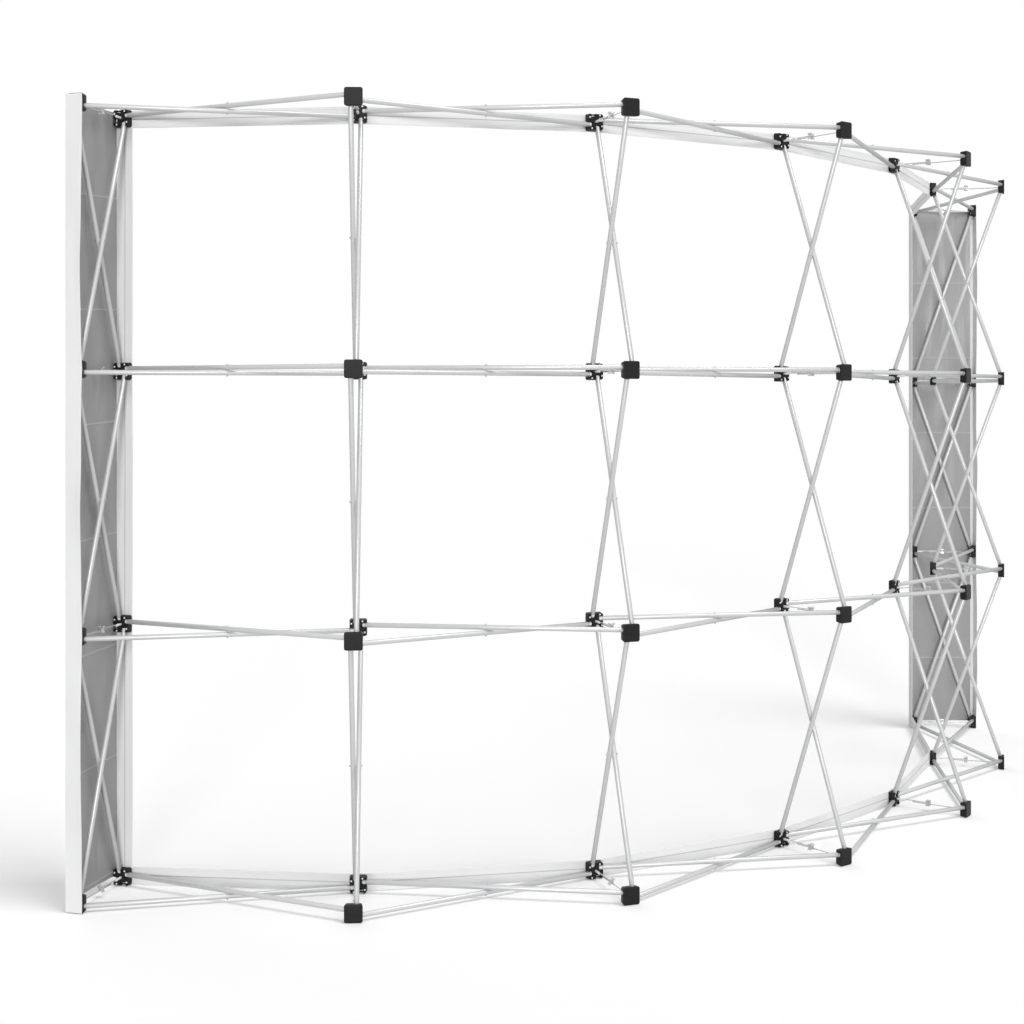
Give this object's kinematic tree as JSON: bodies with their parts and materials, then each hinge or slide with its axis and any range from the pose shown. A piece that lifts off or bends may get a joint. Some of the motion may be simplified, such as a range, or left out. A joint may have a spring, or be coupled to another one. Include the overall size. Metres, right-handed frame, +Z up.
{
  "type": "pop up display backwall",
  "caption": "Curved pop-up wall: a lattice of crossed tubes and hubs with hinged lock arms, a sewn border round the open front and a fabric panel over each end.",
  "frame": {"origin": "on the floor, under the middle of the object's box", "axes": "+Z up, +X along the wall towards column 0, +Y out of the back, where the wall bulges; the hollow front faces -Y"},
  "size_m": [4.0422, 1.1816, 2.2305],
  "materials": {
    "lattice": "satin anodised",
    "upright_tube": "satin anodised",
    "lock_link": "satin",
    "border_fabric": "stitched band",
    "panel_fabric": "smooth coated cloth"
  },
  "bodies": {
    "frame": {"row_0_strand_a": "lattice", "row_0_strand_b": "lattice", "row_1_strand_a": "lattice", "row_1_strand_b": "lattice", "row_2_strand_a": "lattice", "row_2_strand_b": "lattice", "row_3_strand_a": "lattice", "row_3_strand_b": "lattice", "upright_cross_c0_q0": "upright_tube", "upright_cross_c0_q1": "upright_tube", "upright_cross_c0_q2": "upright_tube", "upright_cross_c1_q0": "upright_tube", "upright_cross_c1_q1": "upright_tube", "upright_cross_c1_q2": "upright_tube", "upright_cross_c2_q0": "upright_tube", "upright_cross_c2_q1": "upright_tube", "upright_cross_c2_q2": "upright_tube", "upright_cross_c3_q0": "upright_tube", "upright_cross_c3_q1": "upright_tube", "upright_cross_c3_q2": "upright_tube", "upright_cross_c4_q0": "upright_tube", "upright_cross_c4_q1": "upright_tube", "upright_cross_c4_q2": "upright_tube", "upright_cross_c5_q0": "upright_tube", "upright_cross_c5_q1": "upright_tube", "upright_cross_c5_q2": "upright_tube", "upright_cross_c6_q0": "upright_tube", "upright_cross_c6_q1": "upright_tube", "upright_cross_c6_q2": "upright_tube", "front_border": "border_fabric"},
    "lock_arm_c0_r0": {"lock_arm_c0_r0": "lock_link"},
    "lock_arm_c0_r1": {"lock_arm_c0_r1": "lock_link"},
    "lock_arm_c0_r2": {"lock_arm_c0_r2": "lock_link"},
    "lock_arm_c0_r3": {"lock_arm_c0_r3": "lock_link"},
    "lock_arm_c1_r0": {"lock_arm_c1_r0": "lock_link"},
    "lock_arm_c1_r1": {"lock_arm_c1_r1": "lock_link"},
    "lock_arm_c1_r2": {"lock_arm_c1_r2": "lock_link"},
    "lock_arm_c1_r3": {"lock_arm_c1_r3": "lock_link"},
    "lock_arm_c2_r0": {"lock_arm_c2_r0": "lock_link"},
    "lock_arm_c2_r1": {"lock_arm_c2_r1": "lock_link"},
    "lock_arm_c2_r2": {"lock_arm_c2_r2": "lock_link"},
    "lock_arm_c2_r3": {"lock_arm_c2_r3": "lock_link"},
    "lock_arm_c3_r0": {"lock_arm_c3_r0": "lock_link"},
    "lock_arm_c3_r1": {"lock_arm_c3_r1": "lock_link"},
    "lock_arm_c3_r2": {"lock_arm_c3_r2": "lock_link"},
    "lock_arm_c3_r3": {"lock_arm_c3_r3": "lock_link"},
    "lock_arm_c4_r0": {"lock_arm_c4_r0": "lock_link"},
    "lock_arm_c4_r1": {"lock_arm_c4_r1": "lock_link"},
    "lock_arm_c4_r2": {"lock_arm_c4_r2": "lock_link"},
    "lock_arm_c4_r3": {"lock_arm_c4_r3": "lock_link"},
    "lock_arm_c5_r0": {"lock_arm_c5_r0": "lock_link"},
    "lock_arm_c5_r1": {"lock_arm_c5_r1": "lock_link"},
    "lock_arm_c5_r2": {"lock_arm_c5_r2": "lock_link"},
    "lock_arm_c5_r3": {"lock_arm_c5_r3": "lock_link"},
    "lock_arm_c6_r0": {"lock_arm_c6_r0": "lock_link"},
    "lock_arm_c6_r1": {"lock_arm_c6_r1": "lock_link"},
    "lock_arm_c6_r2": {"lock_arm_c6_r2": "lock_link"},
    "lock_arm_c6_r3": {"lock_arm_c6_r3": "lock_link"},
    "end_panel_left": {"end_panel_left": "panel_fabric"},
    "end_panel_right": {"end_panel_right": "panel_fabric"}
  },
  "joints": [
    {"name": "lock_arm_c0_r0_lift", "type": "hinge", "parent": "frame", "child": "lock_arm_c0_r0", "pos_m": [1.80502, -0.55355, 0.025], "axis": [0.6046, -0.7965, 0], "range_deg": [0, 50]},
    {"name": "lock_arm_c0_r1_lift", "type": "hinge", "parent": "frame", "child": "lock_arm_c0_r1", "pos_m": [1.80502, -0.55355, 0.75182], "axis": [0.6046, -0.7965, 0], "range_deg": [0, 50]},
    {"name": "lock_arm_c0_r2_lift", "type": "hinge", "parent": "frame", "child": "lock_arm_c0_r2", "pos_m": [1.80502, -0.55355, 1.47863], "axis": [0.6046, -0.7965, 0], "range_deg": [0, 50]},
    {"name": "lock_arm_c0_r3_lift", "type": "hinge", "parent": "frame", "child": "lock_arm_c0_r3", "pos_m": [1.80502, -0.55355, 2.20545], "axis": [0.6046, -0.7965, 0], "range_deg": [0, 50]},
    {"name": "lock_arm_c1_r0_lift", "type": "hinge", "parent": "frame", "child": "lock_arm_c1_r0", "pos_m": [1.30625, -0.0719, 0.025], "axis": [0.8171, -0.5764, 0], "range_deg": [0, 50]},
    {"name": "lock_arm_c1_r1_lift", "type": "hinge", "parent": "frame", "child": "lock_arm_c1_r1", "pos_m": [1.30625, -0.0719, 0.75182], "axis": [0.8171, -0.5764, 0], "range_deg": [0, 50]},
    {"name": "lock_arm_c1_r2_lift", "type": "hinge", "parent": "frame", "child": "lock_arm_c1_r2", "pos_m": [1.30625, -0.0719, 1.47863], "axis": [0.8171, -0.5764, 0], "range_deg": [0, 50]},
    {"name": "lock_arm_c1_r3_lift", "type": "hinge", "parent": "frame", "child": "lock_arm_c1_r3", "pos_m": [1.30625, -0.0719, 2.20545], "axis": [0.8171, -0.5764, 0], "range_deg": [0, 50]},
    {"name": "lock_arm_c2_r0_lift", "type": "hinge", "parent": "frame", "child": "lock_arm_c2_r0", "pos_m": [0.6852, 0.2364, 0.025], "axis": [0.9532, -0.3024, 0], "range_deg": [0, 50]},
    {"name": "lock_arm_c2_r1_lift", "type": "hinge", "parent": "frame", "child": "lock_arm_c2_r1", "pos_m": [0.6852, 0.2364, 0.75182], "axis": [0.9532, -0.3024, 0], "range_deg": [0, 50]},
    {"name": "lock_arm_c2_r2_lift", "type": "hinge", "parent": "frame", "child": "lock_arm_c2_r2", "pos_m": [0.6852, 0.2364, 1.47863], "axis": [0.9532, -0.3024, 0], "range_deg": [0, 50]},
    {"name": "lock_arm_c2_r3_lift", "type": "hinge", "parent": "frame", "child": "lock_arm_c2_r3", "pos_m": [0.6852, 0.2364, 2.20545], "axis": [0.9532, -0.3024, 0], "range_deg": [0, 50]},
    {"name": "lock_arm_c3_r0_lift", "type": "hinge", "parent": "frame", "child": "lock_arm_c3_r0", "pos_m": [0, 0.34247, 0.025], "axis": [1, 0, 0], "range_deg": [0, 50]},
    {"name": "lock_arm_c3_r1_lift", "type": "hinge", "parent": "frame", "child": "lock_arm_c3_r1", "pos_m": [0, 0.34247, 0.75182], "axis": [1, 0, 0], "range_deg": [0, 50]},
    {"name": "lock_arm_c3_r2_lift", "type": "hinge", "parent": "frame", "child": "lock_arm_c3_r2", "pos_m": [0, 0.34247, 1.47863], "axis": [1, 0, 0], "range_deg": [0, 50]},
    {"name": "lock_arm_c3_r3_lift", "type": "hinge", "parent": "frame", "child": "lock_arm_c3_r3", "pos_m": [0, 0.34247, 2.20545], "axis": [1, 0, 0], "range_deg": [0, 50]},
    {"name": "lock_arm_c4_r0_lift", "type": "hinge", "parent": "frame", "child": "lock_arm_c4_r0", "pos_m": [-0.6852, 0.2364, 0.025], "axis": [0.9532, 0.3024, 0], "range_deg": [0, 50]},
    {"name": "lock_arm_c4_r1_lift", "type": "hinge", "parent": "frame", "child": "lock_arm_c4_r1", "pos_m": [-0.6852, 0.2364, 0.75182], "axis": [0.9532, 0.3024, 0], "range_deg": [0, 50]},
    {"name": "lock_arm_c4_r2_lift", "type": "hinge", "parent": "frame", "child": "lock_arm_c4_r2", "pos_m": [-0.6852, 0.2364, 1.47863], "axis": [0.9532, 0.3024, 0], "range_deg": [0, 50]},
    {"name": "lock_arm_c4_r3_lift", "type": "hinge", "parent": "frame", "child": "lock_arm_c4_r3", "pos_m": [-0.6852, 0.2364, 2.20545], "axis": [0.9532, 0.3024, 0], "range_deg": [0, 50]},
    {"name": "lock_arm_c5_r0_lift", "type": "hinge", "parent": "frame", "child": "lock_arm_c5_r0", "pos_m": [-1.30625, -0.0719, 0.025], "axis": [0.8171, 0.5764, 0], "range_deg": [0, 50]},
    {"name": "lock_arm_c5_r1_lift", "type": "hinge", "parent": "frame", "child": "lock_arm_c5_r1", "pos_m": [-1.30625, -0.0719, 0.75182], "axis": [0.8171, 0.5764, 0], "range_deg": [0, 50]},
    {"name": "lock_arm_c5_r2_lift", "type": "hinge", "parent": "frame", "child": "lock_arm_c5_r2", "pos_m": [-1.30625, -0.0719, 1.47863], "axis": [0.8171, 0.5764, 0], "range_deg": [0, 50]},
    {"name": "lock_arm_c5_r3_lift", "type": "hinge", "parent": "frame", "child": "lock_arm_c5_r3", "pos_m": [-1.30625, -0.0719, 2.20545], "axis": [0.8171, 0.5764, 0], "range_deg": [0, 50]},
    {"name": "lock_arm_c6_r0_lift", "type": "hinge", "parent": "frame", "child": "lock_arm_c6_r0", "pos_m": [-1.80502, -0.55355, 0.025], "axis": [0.6046, 0.7965, 0], "range_deg": [0, 50]},
    {"name": "lock_arm_c6_r1_lift", "type": "hinge", "parent": "frame", "child": "lock_arm_c6_r1", "pos_m": [-1.80502, -0.55355, 0.75182], "axis": [0.6046, 0.7965, 0], "range_deg": [0, 50]},
    {"name": "lock_arm_c6_r2_lift", "type": "hinge", "parent": "frame", "child": "lock_arm_c6_r2", "pos_m": [-1.80502, -0.55355, 1.47863], "axis": [0.6046, 0.7965, 0], "range_deg": [0, 50]},
    {"name": "lock_arm_c6_r3_lift", "type": "hinge", "parent": "frame", "child": "lock_arm_c6_r3", "pos_m": [-1.80502, -0.55355, 2.20545], "axis": [0.6046, 0.7965, 0], "range_deg": [0, 50]},
    {"name": "end_panel_left_swing", "type": "hinge", "parent": "frame", "child": "end_panel_left", "pos_m": [1.79992, -0.58918, 1.11523], "axis": [0, 0, -1], "range_deg": [0, 100]},
    {"name": "end_panel_right_swing", "type": "hinge", "parent": "frame", "child": "end_panel_right", "pos_m": [-1.79992, -0.58918, 1.11523], "axis": [0, 0, 1], "range_deg": [0, 100]}
  ]
}
